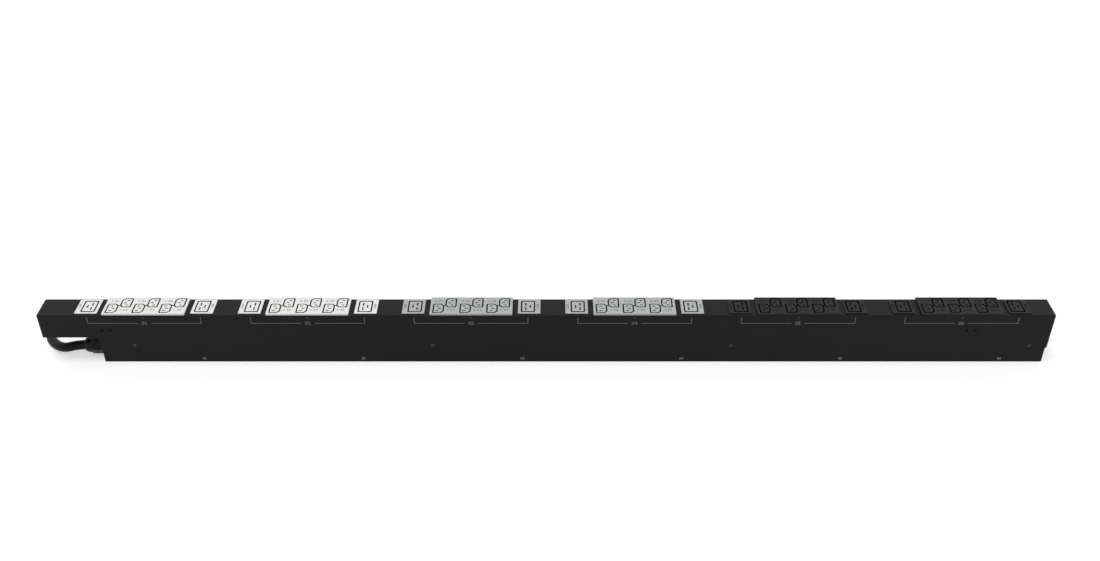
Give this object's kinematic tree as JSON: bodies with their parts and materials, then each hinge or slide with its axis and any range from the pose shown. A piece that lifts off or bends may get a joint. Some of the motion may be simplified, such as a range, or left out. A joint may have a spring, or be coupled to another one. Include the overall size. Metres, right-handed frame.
{
  "type": "rack power distribution unit",
  "caption": "Long black steel power strip with grouped, colour-coded outlets on its face, rocker breakers behind, a notched end with a cable gland, and a lead with a round plug.",
  "frame": {"origin": "centre of the unit's length and width, on its rear face", "axes": "+X along the unit, away from the cord end; +Z out of the outlet face; -Y out of the side with the bracket holes"},
  "size_m": [1.8597, 0.1638, 0.1098],
  "materials": {
    "chassis_steel": "fine-textured black powder coat",
    "cover_steel": "fine-textured black powder coat",
    "cap_plastic": "moulded, satin",
    "module_white": "moulded, satin gloss",
    "module_grey": "moulded, satin gloss",
    "module_black": "moulded, satin gloss",
    "contact_brass": "stamped",
    "zinc_steel": "zinc plated",
    "gland_plastic": "moulded nylon",
    "seal_rubber": "moulded",
    "terminal_plastic": "moulded",
    "wire_jacket": "extruded jacket",
    "breaker_plastic": "moulded",
    "rocker_plastic": "moulded, gloss",
    "cord_jacket": "extruded jacket",
    "plug_plastic": "moulded nylon",
    "plug_face_plastic": "moulded nylon"
  },
  "bodies": {
    "unit": {"front_channel": "chassis_steel", "rear_cover": "cover_steel", "step_cover": "chassis_steel", "left_end_cap": "cap_plastic", "right_end_cap": "cap_plastic", "line_strips": "contact_brass", "neutral_strips": "contact_brass", "earth_strips": "contact_brass", "c19_contacts": "contact_brass", "gland_body": "gland_plastic", "gland_nut": "gland_plastic", "gland_locknut": "gland_plastic", "gland_seal": "seal_rubber", "terminal_block": "terminal_plastic", "input_conductors": "wire_jacket", "wiring_loom": "wire_jacket", "earth_stud": "zinc_steel", "input_cord": "cord_jacket", "plug_body": "plug_plastic", "plug_face": "plug_face_plastic", "plug_blades": "contact_brass", "c13_module_1": "module_white", "c19_module_1": "module_white", "c19_module_2": "module_white", "breaker_1": "breaker_plastic", "c13_module_2": "module_white", "c19_module_3": "module_white", "c19_module_4": "module_white", "breaker_2": "breaker_plastic", "c13_module_3": "module_grey", "c19_module_5": "module_grey", "c19_module_6": "module_grey", "breaker_3": "breaker_plastic", "c13_module_4": "module_grey", "c19_module_7": "module_grey", "c19_module_8": "module_grey", "breaker_4": "breaker_plastic", "c13_module_5": "module_black", "c19_module_9": "module_black", "c19_module_10": "module_black", "breaker_5": "breaker_plastic", "c13_module_6": "module_black", "c19_module_11": "module_black", "c19_module_12": "module_black", "breaker_6": "breaker_plastic"},
    "rocker_1_body": {"rocker_1": "rocker_plastic"},
    "rocker_2_body": {"rocker_2": "rocker_plastic"},
    "rocker_3_body": {"rocker_3": "rocker_plastic"},
    "rocker_4_body": {"rocker_4": "rocker_plastic"},
    "rocker_5_body": {"rocker_5": "rocker_plastic"},
    "rocker_6_body": {"rocker_6": "rocker_plastic"}
  },
  "joints": [
    {"name": "rocker_1_tilt", "type": "hinge", "parent": "unit", "child": "rocker_1_body", "pos_m": [-0.6284, -0.01, 0.0075], "axis": [0, -1, 0], "range_deg": [0, 22]},
    {"name": "rocker_2_tilt", "type": "hinge", "parent": "unit", "child": "rocker_2_body", "pos_m": [-0.3342, -0.01, 0.0075], "axis": [0, -1, 0], "range_deg": [0, 22]},
    {"name": "rocker_3_tilt", "type": "hinge", "parent": "unit", "child": "rocker_3_body", "pos_m": [-0.04, -0.01, 0.0075], "axis": [0, -1, 0], "range_deg": [0, 22]},
    {"name": "rocker_4_tilt", "type": "hinge", "parent": "unit", "child": "rocker_4_body", "pos_m": [0.2542, -0.01, 0.0075], "axis": [0, -1, 0], "range_deg": [0, 22]},
    {"name": "rocker_5_tilt", "type": "hinge", "parent": "unit", "child": "rocker_5_body", "pos_m": [0.5484, -0.01, 0.0075], "axis": [0, -1, 0], "range_deg": [0, 22]},
    {"name": "rocker_6_tilt", "type": "hinge", "parent": "unit", "child": "rocker_6_body", "pos_m": [0.8426, -0.01, 0.0075], "axis": [0, -1, 0], "range_deg": [0, 22]}
  ]
}
